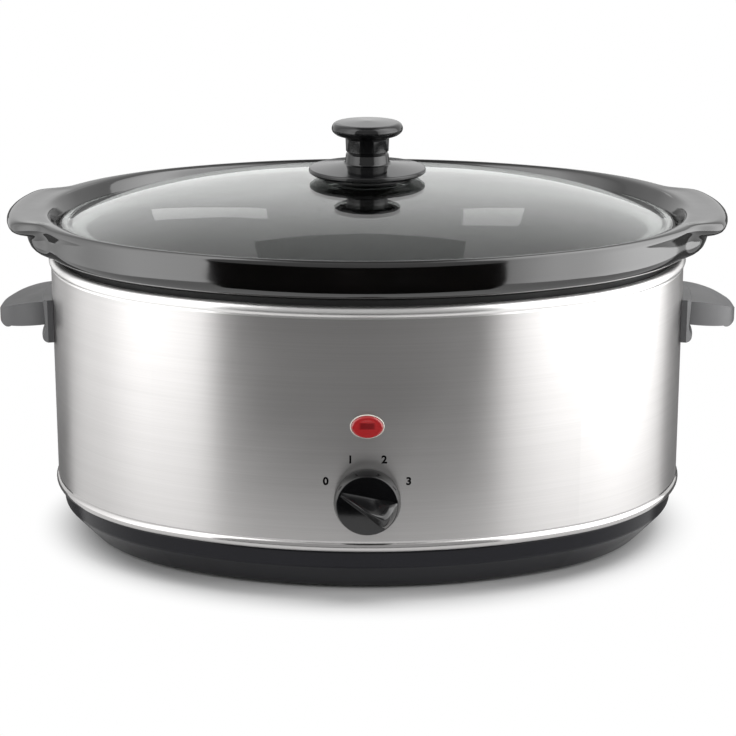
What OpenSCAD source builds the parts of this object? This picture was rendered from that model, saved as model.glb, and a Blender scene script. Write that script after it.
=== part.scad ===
// Oval electric slow cooker: steel body on a moulded base, lift-out stoneware crock, lift-off glass lid.
// Millimetres, +Z up, the front with the dial faces -Y, the origin lies on the table under the centre.

/* [Body] */
// Length of the steel wall from end to end
body_length = 358; // [346:1:370]
// Depth of the steel wall from front to back
body_depth = 274; // [262:1:286]
// Thickness of the sheet metal
sheet = 0.8; // [0.6:0.1:1.2]
// Radius of the rolled beads on the steel wall
bead_r = 3; // [2.6:0.1:3.4]
// How far the beads stand out from the steel wall
bead_proud = 1.2; // [0.8:0.1:1.6]
// Height of the lower bead's centre above the table
low_bead_z = 30.6; // [29:0.2:34]
// Height of the upper bead's centre above the lower one's
bead_span = 127.8; // [116:0.2:140]

/* [Base] */
// Height of the feet below the base
foot_proud = 2.5; // [2:0.5:4]
// Radius of a foot
foot_r = 9; // [7:0.5:12]
// Distance of a foot's centre from the middle, along the length
foot_x = 104; // [90:1:110]
// Distance of a foot's centre from the middle, along the depth
foot_y = 60; // [50:1:66]
// Thickness of the base's moulding
base_wall = 3; // [2.4:0.2:3.4]
// How far the bottom edge of the base lies inside the steel wall
base_bottom_in = 17.6; // [14:0.2:20]
// How far the crease of the base lies inside the steel wall
base_crease_in = 3.4; // [2.8:0.2:5]
// How far the top of the base's band lies inside the steel wall
base_top_in = 2.4; // [1.8:0.2:2.8]
// Height of the base's sloped skirt, from its bottom edge to the crease
skirt_rise = 15.5; // [13:0.5:18]

/* [Well] */
// How far the mouth of the heating well lies inside the steel wall
well_in = 13; // [12:0.2:16]
// Depth of the heating well below its flange
well_depth = 124.8; // [118:0.2:126]
// Inward lean of the well's and the crock's walls, as a slope
draft = 0.1; // [0.08:0.01:0.12]
// Radius of the well's floor corner
well_corner = 18; // [14:1:22]
// Height of the heater band
heater_height = 48; // [36:1:52]
// Thickness of the heater band
heater_t = 2.5; // [2:0.1:3]
// Height of the heater band's lower edge above the well's floor
heater_rise = 44; // [43:0.5:48]
// Thickness of the insulating wrap
wrap_t = 4; // [3:0.2:4.4]

/* [Crock] */
// Gap between the upper bead and the crock's rim
rim_gap = 3.1; // [2.4:0.1:4]
// How far the rim stands out past the steel wall
rim_proud = 3.9; // [3:0.1:5]
// Height of the rim's outer band
rim_height = 20.5; // [18:0.5:24]
// Width of the rim's crest
crest_width = 7.4; // [6.8:0.1:8]
// How far the rim's inner slope runs in, from the crest to the lid's ledge
rim_slope = 1.3; // [1:0.1:2]
// Depth of the lid's ledge below the crest
ledge_drop = 9.6; // [9:0.2:12]
// Thickness of the crock's wall
crock_wall = 7; // [6:0.2:8.4]
// Thickness of the crock's floor
crock_floor = 8; // [6:0.5:10]
// Gap between the crock and the well's wall
crock_gap = 1.7; // [1.2:0.1:2.4]
// Gap between the crock and the well's floor
crock_floor_gap = 3; // [2:0.2:4]
// Radius of the crock's inner floor corner
crock_corner = 24; // [18:1:28]
// How far the lugs reach past the steel wall
lug_reach = 23.7; // [20:0.1:28]
// Half the thickness of a lug, which is also the radius of its round edge
lug_edge = 4.2; // [3.4:0.1:5]
// Radius of a lug's corner, seen from above, to the middle of the round edge
lug_corner = 13; // [11:0.5:15]
// How far the brace under a lug reaches past the steel wall
brace_reach = 13; // [11:0.2:15]
// Radius of the brace's round edge
brace_edge = 9.6; // [8:0.1:9.8]

/* [Lid] */
// Gap between the lid's edge and the rim's inner slope
lid_gap = 0.7; // [0.5:0.1:1.2]
// Thickness of the glass
glass = 3.8; // [3:0.1:4.4]
// Width of the lid's flat rim
lid_flange = 4.8; // [4:0.2:7]
// Rise of the dome from the flat rim to the top
lid_rise = 22.8; // [20:0.4:28]
// Half the depth of the flat at the top of the dome
lid_flat = 33; // [30:0.5:38]
// Thickness of the sealing washers
seal_t = 0.8; // [0.6:0.1:1.5]

/* [Lid knob] */
// Radius of the knob's foot disc
disc_r = 33; // [28:0.5:34]
// Height of the collar that lifts the foot disc off the glass
collar_t = 1.7; // [1:0.1:2.5]
// Thickness of the foot disc at its edge
disc_edge = 3.2; // [2.2:0.1:3.6]
// Rise of the foot disc's top from its edge to the stem
disc_rise = 2.6; // [1.4:0.1:3.2]
// Radius of the knob's stem
stem_r = 12; // [10.5:0.5:14]
// Height of the stem's seam above the foot disc's underside
seam_rise = 12; // [10:0.2:14]
// Height of the cap's underside above the seam
neck_rise = 8.8; // [6:0.2:12]
// Radius of the cap
cap_r = 20.5; // [18:0.5:24]
// Thickness of the cap
cap_t = 9; // [8:0.2:11]
// Radius of the clamp disc under the glass
clamp_r = 17.4; // [15:0.2:22]
// Thickness of the clamp disc
clamp_t = 5; // [4.6:0.2:8]

/* [Dial] */
// Height of the dial's axis above the lower bead
dial_rise = 26.4; // [24.5:0.2:28]
// Radius of the dial's skirt
dial_r = 17.6; // [16:0.2:19]
// Radius of the dial's face
face_r = 16.2; // [15:0.2:17.4]
// Height of the dial's face above the steel wall
face_rise = 9; // [8.6:0.2:11]
// Height of the grip above the face
grip_rise = 11; // [8:0.5:14]
// Direction of the pointer at rest, from the right, counter-clockwise
pointer_angle = 155; // [140:1:170]
// Radius of the spindle
spindle_r = 3; // [2.6:0.1:3.4]
// Running clearance round the spindle
spindle_fit = 0.05; // [0.03:0.01:0.1]
// Radius of the switch's threaded bush
bush_r = 5; // [4.6:0.1:5.6]
// Width of the switch's housing
switch_w = 30; // [26:1:34]
// Height of the switch's housing
switch_h = 27; // [24:1:28]
// Depth of the switch's housing
switch_depth = 17; // [14:0.5:18]

/* [Lamp] */
// Height of the lamp's centre above the dial's axis
lamp_rise = 40.6; // [38:0.2:44]
// Width of the lens
lens_w = 18; // [16:0.6:21]
// Height of the lens
lens_h = 13; // [11:0.2:14]
// How far the lens stands out from the steel wall
lens_proud = 2.4; // [1.8:0.1:3.2]

/* [Handles] */
// Height of the handles' top at the steel wall
handle_z = 136; // [126:0.5:142]
// How far a handle reaches past the steel wall
handle_reach = 31; // [28:0.5:36]
// Width of a handle's shelf at the steel wall
shelf_w = 50; // [44:1:51]
// Height of the shelf's skirt at the steel wall
shelf_t = 13; // [12:0.5:15]
// How far the skirt's lower edge falls from the wall to the tip
shelf_fall = 4; // [2:0.5:5]
// Radius of the shelf's crowned top
crown_r = 70; // [66:1:90]
// Radius of the shelf's nose, seen from the side
nose_r = 5.5; // [4.5:0.1:5.8]
// Thickness of the shelf and its skirt
shelf_wall = 4; // [3:0.2:4.4]
// Thickness of the handle's plate on the steel wall
plate_t = 6; // [5:0.5:7]
// Height of the handle's plate
plate_h = 24.5; // [23:0.5:28]

/* [Fasteners and inlet] */
// Radius of the small screws' shanks
screw_r = 1.6; // [1.4:0.1:1.9]
// Radius of the centre stud
stud_r = 3; // [2.5:0.1:3.4]
// Radius of the lid knob's screw
knob_screw_r = 2.5; // [2:0.1:2.8]
// Radius of the leads
lead_r = 1.4; // [1:0.1:1.6]
// Height of the cord inlet above the lower bead
inlet_rise = 15.4; // [14:0.2:20]
// Radius of the cord inlet's bore
inlet_r = 3.8; // [3:0.1:4.4]

/* [Hidden] */
$fn = 96;

// Clearances: still fits, loose holes and the small step past a cut face
snug = 0.1;
loose = 0.25;
past = 1;

// A rounded corner's arc stays this far inside its tangent lines, so that it ends in clean crossings
arc_inset = 0.02;

// The oval has four arcs. Their centres and joints stand on a triangle of sides 8, 15 and 17, so that
// every centre and every joint line has short exact coordinates.
oval_unit = snap((body_length - body_depth) / 12);
end_x = 8 * oval_unit;
end_r = body_length / 2 - end_x;
half_depth = end_r + 2 * oval_unit;
sector_reach = 40;
sweep_top = 400;

// Beads, flanges and base
bead_d = bead_proud - bead_r;
top_bead_z = low_bead_z + bead_span;
flange_z = top_bead_z + sheet / 2;
low_flange_in = bead_r - bead_d + 5.2;
base_top_z = low_bead_z - bead_r - 0.4;
lip_d = bead_d - bead_r - 0.6;
lip_z = low_bead_z - sheet / 2;
crease_z = foot_proud + skirt_rise;
skirt_run = base_bottom_in - base_crease_in;
skirt_wall = base_wall * norm([skirt_run, skirt_rise]) / skirt_rise;
base_floor_z = foot_proud + base_wall;
foot_stem_r = 4;
cup_r = 14;
cup_z = base_floor_z + 3.5;

// Well, heater and shield
lean = atan(draft);
sheet_h = sheet / cos(lean);
well_z = flange_z - well_depth;
core_d = -80;
heater_z = well_z + heater_rise;
wrap_margin = 4;
shield_z = well_z - 12;
shield_in = 30;
post_r = 4;
post_x = 78;
post_y = 44;
shoulder_r = 7;

// Crock
rim_z = top_bead_z + bead_r + rim_gap;
crest_z = rim_z + rim_height;
ledge_z = crest_z - ledge_drop;
ledge_d = rim_proud - crest_width - rim_slope;
crock_z = well_z + sheet + crock_floor_gap;
crock_floor_z = crock_z + crock_floor;
seat_out = 6;
seat_in = well_in - 1;

// Lugs: corner centres along lug_way, fillet centres from there along root_way. Both are sides of
// whole-number triangles, again for exact joints. The fillets end a little inside the rim's band.
lug_way = [35, 12];
root_way = [8, 15];
lug_step = snap((end_r + lug_reach - lug_edge - lug_corner) / norm(lug_way));
lug_arm = lug_step * norm(lug_way);
lug_z = crest_z - 0.4 - lug_edge;
lug_root_r = end_r + rim_proud - lug_edge - 0.4;
lug_lean = along(lug_way) * along(root_way);
lug_fillet = (lug_arm * lug_arm + lug_corner * lug_corner + 2 * lug_arm * lug_corner * lug_lean
  - lug_root_r * lug_root_r) / (2 * (lug_root_r - lug_corner - lug_arm * lug_lean));
lug_stride = snap((lug_corner + lug_fillet) / norm(root_way));
lug_fillet_r = lug_stride * norm(root_way) - lug_corner;
brace_mid_r = end_r + brace_reach - brace_edge + 0.18;
wing_far = 10;
brace_z = rim_z + 0.3 + brace_edge;

// Lid and knob
lid_d = ledge_d - lid_gap;
lid_edge_z = ledge_z + glass;
dome_z = lid_edge_z + lid_rise;
flat_d = lid_flat - half_depth;
dome_run = lid_d - lid_flange - flat_d;
dome_r = (dome_run * dome_run + lid_rise * lid_rise) / (2 * lid_rise);
lid_hole_r = knob_screw_r + 1.5;
collar_z = dome_z + seal_t;
collar_r = disc_r - 8;
disc_z = collar_z + collar_t;
seam_z = disc_z + seam_rise;
neck_z = seam_z + neck_rise;
cap_z = neck_z + cap_t;
clamp_z = dome_z - glass - seal_t;
knob_bore_r = knob_screw_r + spindle_fit;
screw_end_z = cap_z - 8;
screw_head_r = 4.6;
screw_head_t = 2.6;
screw_head_room = 0.4;

// Dial, switch and lamp, measured outwards from the steel wall's front
dial_z = low_bead_z + dial_rise;
dial_gap = 0.8;
nut_t = 2.5;
bush_end = nut_t + 2.4;
hub_start = bush_end + 0.8;
switch_front = -sheet - 0.6;
lamp_z = dial_z + lamp_rise;
lens_unit = snap((lens_w - lens_h) / 12);
lens_end_r = lens_w / 2 - 8 * lens_unit;
lens_lip = 1;
lens_back = -7;
lamp_r = 3;

// Handles: the shelf's plan is half an oval, its top is an arc that leaves the wall at crown_slope
plate_half_angle = 12.4;
plate_bevel = 2.6;
screw_angle = 6;
plate_z = handle_z - plate_h + 1.2;
screw_z = plate_z + plate_h * 0.45;
screw_bite = plate_t - 1;
shelf_unit = snap((2 * handle_reach - shelf_w) / 12);
shelf_end_r = handle_reach - 8 * shelf_unit;
crown_slope = 1;
crown_x = -crown_r * sin(crown_slope);
crown_z = handle_z - crown_r * cos(crown_slope);
nose_end = handle_reach + 0.5;
nose_x = nose_end - nose_r;
nose_lift = sqrt(crown_r * crown_r - (nose_x - crown_x) * (nose_x - crown_x));
nose_slope = (nose_x - crown_x) / nose_lift;
nose_z = crown_z + nose_lift - 0.15;

// Wiring and inlet
block_in = 65;
block_y = half_depth - block_in;
block_size = [40, 20, 14];
lead_x = 9;
lead_z = base_floor_z + 10.5;
lead_bend = 10;
front_lead_y = switch_depth - half_depth - switch_front - 4;
rear_lead_y = half_depth + well_d(heater_z) + lead_r + loose;
fuse_z = well_z + 10;
fuse_h = 16;
fuse_r = 3;
inlet_z = low_bead_z + inlet_rise;
inlet_neck_r = inlet_r + 2;
inlet_lip_r = inlet_neck_r + 2.4;

// Rounds to hundredths, which keeps coordinates short
function snap(value) = round(value * 100) / 100;

// Outer face of the well, and both faces of the crock's wall, at height z
function well_d(z) = -well_in - (flange_z - z) * draft;
function crock_d(z) = well_d(z) - sheet_h - crock_gap;
function cavity_d(z) = crock_d(z) - crock_wall / cos(lean);

// Corner of a rounded outline: its points, its turn, the centre of its arc and the arc's radius
function along(v) = v / norm(v);
function corner(before, at, after) =
  let (
    p = [at.x, at.y],
    u = along([before.x, before.y] - p),
    w = along([after.x, after.y] - p),
    half = acos(u * w) / 2,
    r = at.z
  )
  r == 0
    ? [[p], 0, p, 0]
    : [
        [p + u * r / tan(half), p + w * r / tan(half)],
        cross(u, w) < 0 ? 1 : -1,
        p + along(u + w) * r / sin(half),
        r
      ];

// Outline given counter-clockwise, each point as [x, y, corner radius]
module rounded(outline) {
  n = len(outline);
  corners = [for (i = [0:n - 1]) corner(outline[(i + n - 1) % n], outline[i], outline[(i + 1) % n])];
  difference() {
    union() {
      polygon([for (c = corners) each c[0]]);
      for (c = corners)
        if (c[1] > 0) translate(c[2]) circle(c[3] - arc_inset);
    }
    for (c = corners)
      if (c[1] < 0) translate(c[2]) circle(c[3] - arc_inset);
  }
}

// The part of the plan that an end arc or a side arc of an oval covers
module end_sector(unit) {
  polygon([
    [8 * unit, 0],
    [8 * (unit + sector_reach), -15 * sector_reach],
    [8 * (unit + sector_reach), 15 * sector_reach]
  ]);
}

module side_sector(unit) {
  polygon([
    [-8 * unit, 0],
    [8 * unit, 0],
    [8 * (unit + sector_reach), 15 * sector_reach],
    [-8 * (unit + sector_reach), 15 * sector_reach]
  ]);
}

// Flat oval with ends of radius r
module oval_plan(r, unit) {
  for (turn = [0, 180])
    rotate(turn) {
      intersection() {
        translate([8 * unit, 0]) circle(r);
        end_sector(unit);
      }
      intersection() {
        translate([0, -15 * unit]) circle(r + 17 * unit);
        side_sector(unit);
      }
    }
}

// Oval plate whose edge lies d outside the steel wall
module oval_plate(d, z, h) {
  translate([0, 0, z]) linear_extrude(h) oval_plan(end_r + d, oval_unit);
}

// Sweeps a profile round the body's oval: x is the distance out from the steel wall, y the height
module oval_sweep() {
  for (turn = [0, 180])
    rotate(turn) {
      intersection() {
        translate([end_x, 0]) rotate(180) rotate_extrude() translate([end_r, 0]) children();
        linear_extrude(sweep_top) end_sector(oval_unit);
      }
      intersection() {
        translate([0, -15 * oval_unit]) rotate_extrude() translate([end_r + 17 * oval_unit, 0]) children();
        linear_extrude(sweep_top) side_sector(oval_unit);
      }
    }
}

// Places its children on the front wall at height z, with local z pointing out of the wall
module on_front(z) {
  translate([0, -half_depth, z]) rotate([90, 0, 0]) children();
}

module on_back(z) {
  translate([0, half_depth, z]) rotate([-90, 0, 0]) children();
}

// Places its children on the right end wall, turned round the end's centre, local x pointing out
module on_end(angle, z) {
  translate([end_x, 0, z]) rotate(angle) translate([end_r, 0, 0]) children();
}

module both_ends() {
  for (turn = [0, 180]) rotate(turn) children();
}

module at_corners(x, y) {
  for (sx = [-1, 1], sy = [-1, 1]) translate([sx * x, sy * y]) children();
}

module tube(outer, inner, z, h) {
  translate([0, 0, z]) difference() {
    cylinder(r = outer, h = h);
    translate([0, 0, -past]) cylinder(r = inner, h = h + 2 * past);
  }
}

// Moulded tray: a sloped skirt under an upright band, and a lip that carries the steel wall
module base_pan() {
  inner_d = lip_d - base_wall;
  inner_bend_z = foot_proud + (inner_d + base_bottom_in + skirt_wall) * skirt_rise / skirt_run;
  inner_floor_d = base_wall * skirt_run / skirt_rise - base_bottom_in - skirt_wall;
  vent = [5, 46];
  vent_pitch = 20;
  vent_end = 2.5 * vent_pitch;
  color([0.1, 0.1, 0.12]) difference() {
    union() {
      oval_sweep() difference() {
        union() {
          rounded([
            [core_d, foot_proud, 0],
            [-base_bottom_in, foot_proud, 2],
            [-base_crease_in, crease_z, 2.4],
            [-base_top_in, base_top_z, 0.8],
            [core_d, base_top_z, 0]
          ]);
          translate([inner_d, crease_z]) square([base_wall, lip_z - crease_z]);
        }
        polygon([
          [core_d - past, base_floor_z],
          [inner_floor_d, base_floor_z],
          [inner_d, inner_bend_z],
          [inner_d, lip_z + past],
          [core_d - past, lip_z + past]
        ]);
      }
      oval_plate(core_d + 4, foot_proud, base_wall);
      translate([0, 0, foot_proud]) cylinder(r = cup_r + base_wall, h = cup_z + base_wall - foot_proud);
      at_corners(post_x, post_y) translate([0, 0, foot_proud])
        cylinder(r = post_r, h = shield_z - foot_proud);
    }
    translate([0, 0, foot_proud - past]) cylinder(r = cup_r, h = cup_z - foot_proud + past);
    cylinder(r = stud_r + loose, h = shield_z);
    at_corners(foot_x, foot_y) cylinder(r = foot_stem_r + snug, h = base_floor_z + past);
    for (x = [-vent_end:vent_pitch:vent_end], side = [0, 1]) mirror([0, side, 0])
      translate([x - vent.x / 2, -vent.y, 0])
        cube([vent.x, vent.y - cup_r - 2 * base_wall, base_floor_z + past]);
  }
}

// Rubber buttons with a stem through the base's floor and a head that keeps them in
module feet() {
  color([0.13, 0.13, 0.13]) at_corners(foot_x, foot_y) rotate_extrude() rounded([
    [0, 0, 0],
    [foot_r, 0, 1.2],
    [foot_r, foot_proud, 0.4],
    [foot_stem_r, foot_proud, 0],
    [foot_stem_r, base_floor_z, 0],
    [foot_stem_r + 1.4, base_floor_z, 0],
    [foot_stem_r - 0.6, base_floor_z + 3, 0],
    [0, base_floor_z + 3, 0]
  ]);
}

// Stud from the well's floor down through the shield and the base
module tie_stud() {
  color([0.62, 0.63, 0.65]) {
    translate([0, 0, foot_proud + 0.6]) cylinder(r = stud_r, h = well_z - foot_proud - 0.6);
    translate([0, 0, shield_z + sheet]) cylinder(r = shoulder_r, h = well_z - shield_z - sheet);
  }
}

// Hexagon nut with its washer, in the cup under the base
module tie_nut() {
  washer_t = 1.2;
  nut_h = 4.6;
  color([0.62, 0.63, 0.65]) difference() {
    union() {
      translate([0, 0, cup_z - washer_t]) cylinder(r = cup_r - 4, h = washer_t);
      translate([0, 0, cup_z - washer_t - nut_h]) cylinder(r = 2 * stud_r, h = nut_h, $fn = 6);
    }
    cylinder(r = stud_r + spindle_fit, h = cup_z + past);
  }
}

// Reflector plate on the base's posts
module heat_shield() {
  color([0.75, 0.76, 0.78]) difference() {
    oval_plate(-shield_in, shield_z, sheet);
    cylinder(r = stud_r + loose, h = shield_z + sheet + past);
  }
}

// Steel wall with rolled beads and inward flanges, pierced for the dial, lamp, inlet and handles
module sleeve() {
  top_flange_in = well_in - 0.4;
  color([0.78, 0.78, 0.79]) difference() {
    oval_sweep() {
      translate([-sheet, low_bead_z]) square([sheet, bead_span]);
      for (z = [low_bead_z, top_bead_z]) translate([bead_d, z]) circle(bead_r);
      translate([-top_flange_in, top_bead_z - sheet / 2]) square([top_flange_in + bead_d, sheet]);
      translate([-low_flange_in, low_bead_z - sheet / 2]) square([low_flange_in + bead_d, sheet]);
    }
    on_front(dial_z) translate([0, 0, -sheet - past]) cylinder(r = bush_r + loose, h = sheet + 2 * past);
    on_front(lamp_z) translate([0, 0, -sheet - past]) linear_extrude(sheet + 2 * past)
      oval_plan(lens_end_r - lens_lip + loose, lens_unit);
    on_back(inlet_z) translate([0, 0, -sheet - past])
      cylinder(r = inlet_neck_r + snug, h = sheet + 2 * past);
    both_ends() for (a = [-screw_angle, screw_angle])
      on_end(a, screw_z) translate([-sheet - past, 0, 0]) rotate([0, 90, 0])
        cylinder(r = screw_r + loose, h = sheet + 2 * past);
  }
}

// Sheet-metal well that hangs from the steel wall's top flange
module liner() {
  color([0.6, 0.61, 0.62]) {
    oval_sweep() difference() {
      union() {
        rounded([
          [core_d, well_z, 0],
          [well_d(well_z), well_z, well_corner],
          [well_d(flange_z + sheet), flange_z + sheet, 0],
          [core_d, flange_z + sheet, 0]
        ]);
        translate([-well_in - past, flange_z]) square([well_in + past + lip_d + 0.2, sheet]);
      }
      rounded([
        [core_d - past, well_z + sheet, 0],
        [well_d(well_z + sheet) - sheet_h, well_z + sheet, well_corner - sheet],
        [well_d(flange_z + 2 * sheet) - sheet_h, flange_z + 2 * sheet, 0],
        [core_d - past, flange_z + 2 * sheet, 0]
      ]);
    }
    oval_plate(core_d + 4, well_z, sheet);
  }
}

// A band that follows the well's leaning wall, from gap to gap + t outside it
module well_band(gap, t, z, h) {
  oval_sweep() polygon([
    [well_d(z) + gap, z],
    [well_d(z) + gap + t, z],
    [well_d(z + h) + gap + t, z + h],
    [well_d(z + h) + gap, z + h]
  ]);
}

module heater_band() {
  color([0.72, 0.7, 0.66]) well_band(snug, heater_t, heater_z, heater_height);
}

module insulation() {
  color([0.85, 0.84, 0.8])
    well_band(heater_t + 2 * snug, wrap_t, heater_z, heater_height + wrap_margin);
}

// Dark ring on the well's flange that the crock's rim rests on
module rim_seat() {
  seat_z = flange_z + sheet;
  color([0.06, 0.06, 0.06]) oval_sweep() translate([-seat_in, seat_z])
    square([seat_in - seat_out, rim_z - seat_z]);
}

// Side view of the shelf, x from the steel wall
module shelf_side() {
  low = handle_z - shelf_t;
  back = 10;
  intersection() {
    rounded([
      [-back, low + back * shelf_fall / handle_reach, 0],
      [nose_end, low - shelf_fall, nose_r * 0.65],
      [nose_end, nose_z - nose_r * nose_slope, nose_r],
      [-back, nose_z + (nose_x + back) * nose_slope, 0]
    ]);
    translate([crown_x, crown_z]) circle(crown_r);
  }
}

// Finger room under the shelf, seen from the side
module shelf_hollow() {
  intersection() {
    translate([plate_t, 0]) square([handle_reach, 2 * handle_z]);
    translate([crown_x, crown_z]) circle(crown_r - shelf_wall);
  }
}

// Gives a side view the shelf's half-oval plan, inset by some distance
module shelf_body(inset) {
  translate([end_x + end_r, 0, 0]) intersection() {
    translate([0, shelf_w, 0]) rotate([90, 0, 0]) linear_extrude(2 * shelf_w) children();
    linear_extrude(2 * handle_z) oval_plan(shelf_end_r - inset, shelf_unit);
  }
}

// Moulded handle: a crowned shelf, hollow below, on a toed plate that fits the end wall
module handle() {
  color([0.09, 0.09, 0.1]) difference() {
    union() {
      difference() {
        translate([end_x, 0, 0]) rotate(-plate_half_angle) rotate_extrude(angle = 2 * plate_half_angle)
          translate([end_r + snug, plate_z]) rounded([
            [0, 0, 0],
            [plate_t + 1.6, 0, 2.6],
            [plate_t - 1.6, plate_h * 0.3, 0],
            [plate_t - 0.6, plate_h, 1],
            [0, plate_h, 0]
          ]);
        for (side = [0, 1]) mirror([0, side, 0]) on_end(plate_half_angle, plate_z - past)
          translate([plate_t - plate_bevel, 0, 0]) rotate(-45)
            cube([2 * plate_t, 2 * plate_t, plate_h + 2 * past]);
      }
      difference() {
        shelf_body(0) shelf_side();
        shelf_body(shelf_wall) shelf_hollow();
        translate([end_x, 0, 0]) cylinder(r = end_r + plate_t / 2, h = 2 * handle_z);
      }
    }
    for (a = [-screw_angle, screw_angle])
      on_end(a, screw_z) rotate([0, 90, 0]) cylinder(r = screw_r + spindle_fit, h = screw_bite - past);
  }
}

module handle_left() {
  rotate(180) handle();
}

module handle_right() {
  handle();
}

// Pan-head screws driven from inside the steel wall into the handles' plates
module handle_screws() {
  head = [3.4, 2.2];
  color([0.62, 0.63, 0.65]) both_ends() for (a = [-screw_angle, screw_angle])
    on_end(a, screw_z) rotate([0, 90, 0]) {
      translate([0, 0, -sheet - snug]) cylinder(r = screw_r, h = sheet + snug + screw_bite - past - loose);
      translate([0, 0, -sheet - snug - head.y]) cylinder(r = head.x, h = head.y);
    }
}

// Rotary switch: housing behind the wall and threaded bush through it
module switch_body() {
  color([0.16, 0.16, 0.17]) on_front(dial_z) difference() {
    union() {
      translate([-switch_w / 2, -switch_h / 2, switch_front - switch_depth])
        cube([switch_w, switch_h, switch_depth]);
      translate([0, 0, switch_front - past]) cylinder(r = bush_r, h = bush_end - switch_front + past);
    }
    translate([0, 0, switch_front - switch_depth + 4])
      cylinder(r = spindle_r + spindle_fit, h = switch_depth + bush_end - switch_front);
  }
}

// Panel nut that clamps the switch to the steel wall, under the dial
module switch_nut() {
  color([0.7, 0.7, 0.68]) on_front(dial_z) translate([0, 0, spindle_fit]) difference() {
    cylinder(r = bush_r + 3.2, h = nut_t, $fn = 6);
    translate([0, 0, -past]) cylinder(r = bush_r + spindle_fit, h = nut_t + 2 * past);
  }
}

// Flat that keys the spindle to the dial, in the pointer's frame
module key_flat(clear) {
  translate([-2 * spindle_r, spindle_r * 0.6 + clear, hub_start - 0.4])
    cube([4 * spindle_r, 2 * spindle_r, face_rise + grip_rise]);
}

module dial_shaft() {
  inner = switch_front - switch_depth + 4 + loose;
  color([0.8, 0.8, 0.8]) on_front(dial_z) rotate(pointer_angle) difference() {
    translate([0, 0, inner]) cylinder(r = spindle_r, h = face_rise + grip_rise / 2 - inner);
    key_flat(0);
  }
}

// Control dial: a hollow skirted disc with a tapered bar grip whose narrow end points
module dial_knob() {
  skirt_t = 2.4;
  tail_r = 6.4;
  tip_r = 1.7;
  color([0.06, 0.06, 0.065]) on_front(dial_z) rotate(pointer_angle) difference() {
    union() {
      rotate_extrude() rounded([
        [0, hub_start, 0],
        [dial_r - skirt_t - 0.4, hub_start, 1.2],
        [dial_r - skirt_t, dial_gap, 0],
        [dial_r, dial_gap, 0.5],
        [dial_r, face_rise * 0.45, 1],
        [face_r, face_rise, 1.5],
        [0, face_rise, 0]
      ]);
      hull() {
        translate([face_r - tip_r - 0.4, 0, face_rise - past])
          cylinder(r1 = tip_r, r2 = tip_r * 0.5, h = grip_rise * 0.62 + past, $fn = 32);
        translate([tail_r + 1.2 - face_r, 0, face_rise - past])
          cylinder(r1 = tail_r, r2 = tail_r * 0.55, h = grip_rise + past, $fn = 32);
      }
    }
    difference() {
      translate([0, 0, hub_start - past])
        cylinder(r = spindle_r + spindle_fit / 2, h = face_rise + grip_rise / 2 - hub_start + past + loose);
      key_flat(spindle_fit / 2);
    }
  }
}

// Red lens: a domed oval head on the wall and a hollow neck through it
module lamp_lens() {
  head_base = snug;
  dome_drop = 1.3;
  lens_dome_r = (lens_w * lens_w / 4 + dome_drop * dome_drop) / (2 * dome_drop);
  color([0.8, 0.07, 0.06]) on_front(lamp_z) difference() {
    union() {
      intersection() {
        translate([0, 0, head_base]) linear_extrude(lens_proud) oval_plan(lens_end_r, lens_unit);
        translate([0, 0, lens_proud - lens_dome_r]) sphere(lens_dome_r);
      }
      translate([0, 0, lens_back]) linear_extrude(head_base - lens_back)
        oval_plan(lens_end_r - lens_lip, lens_unit);
    }
    translate([0, 0, lens_back - past]) cylinder(r = lamp_r + loose, h = -lens_back + past);
  }
}

// Neon lamp with its collar behind the lens
module lamp_holder() {
  collar_r = lens_end_r - lens_lip;
  color([0.9, 0.6, 0.5]) on_front(lamp_z) rotate_extrude() rounded([
    [0, lens_back - 2.4, 0],
    [collar_r, lens_back - 2.4, 0],
    [collar_r, lens_back - snug, 0],
    [lamp_r, lens_back - snug, 0],
    [lamp_r, -1, 1.4],
    [0, -1, 0]
  ]);
}

// Over-temperature fuse in line with the heater's lead, behind the well
module thermal_fuse() {
  color([0.9, 0.9, 0.88]) translate([0, rear_lead_y, fuse_z]) rotate_extrude() rounded([
    [0, 0, 0],
    [fuse_r, 0, 1.2],
    [fuse_r, fuse_h, 1.2],
    [0, fuse_h, 0]
  ]);
}

// Mains terminals on the base's floor
module terminal_block() {
  color([0.88, 0.87, 0.82]) translate([0, block_y, base_floor_z]) difference() {
    translate([-block_size.x / 2, -block_size.y / 2, 0]) cube(block_size);
    for (x = [-13, 0, 13]) translate([x, 0, block_size.z - 6]) cylinder(r = 3, h = 6 + past);
  }
}

// A lead that runs level from y0 towards y1 and then bends up to height top
module bent_lead(x, y0, y1, top) {
  way = sign(y1 - y0);
  run = abs(y1 - y0) - lead_bend;
  translate([x, y0, lead_z]) rotate(way > 0 ? 0 : 180) {
    rotate([-90, 0, 0]) cylinder(r = lead_r, h = run);
    translate([0, run, lead_bend]) rotate([90, 0, 90]) rotate(-90) rotate_extrude(angle = 90)
      translate([lead_bend, 0]) circle(lead_r);
    translate([0, run + lead_bend, lead_bend]) cylinder(r = lead_r, h = top - lead_z - lead_bend);
  }
}

// Leads to the switch, the heater and the lamp
module wiring() {
  lamp_lead_r = 0.8;
  lamp_lead_y = lens_back - 1.2 + half_depth;
  lamp_foot_z = dial_z + switch_h / 2;
  lamp_lead_top = lamp_z - lens_end_r + lens_lip;
  color([0.75, 0.72, 0.66]) {
    for (x = [-lead_x, lead_x])
      bent_lead(x, block_y - block_size.y / 2, front_lead_y, dial_z - switch_h / 2);
    bent_lead(0, block_y + block_size.y / 2, rear_lead_y, fuse_z);
    translate([0, rear_lead_y, fuse_z + fuse_h])
      cylinder(r = lead_r, h = heater_z - fuse_z - fuse_h - snug);
    translate([0, -lamp_lead_y, lamp_foot_z])
      cylinder(r = lamp_lead_r, h = lamp_lead_top - lamp_foot_z - snug);
  }
}

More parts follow.
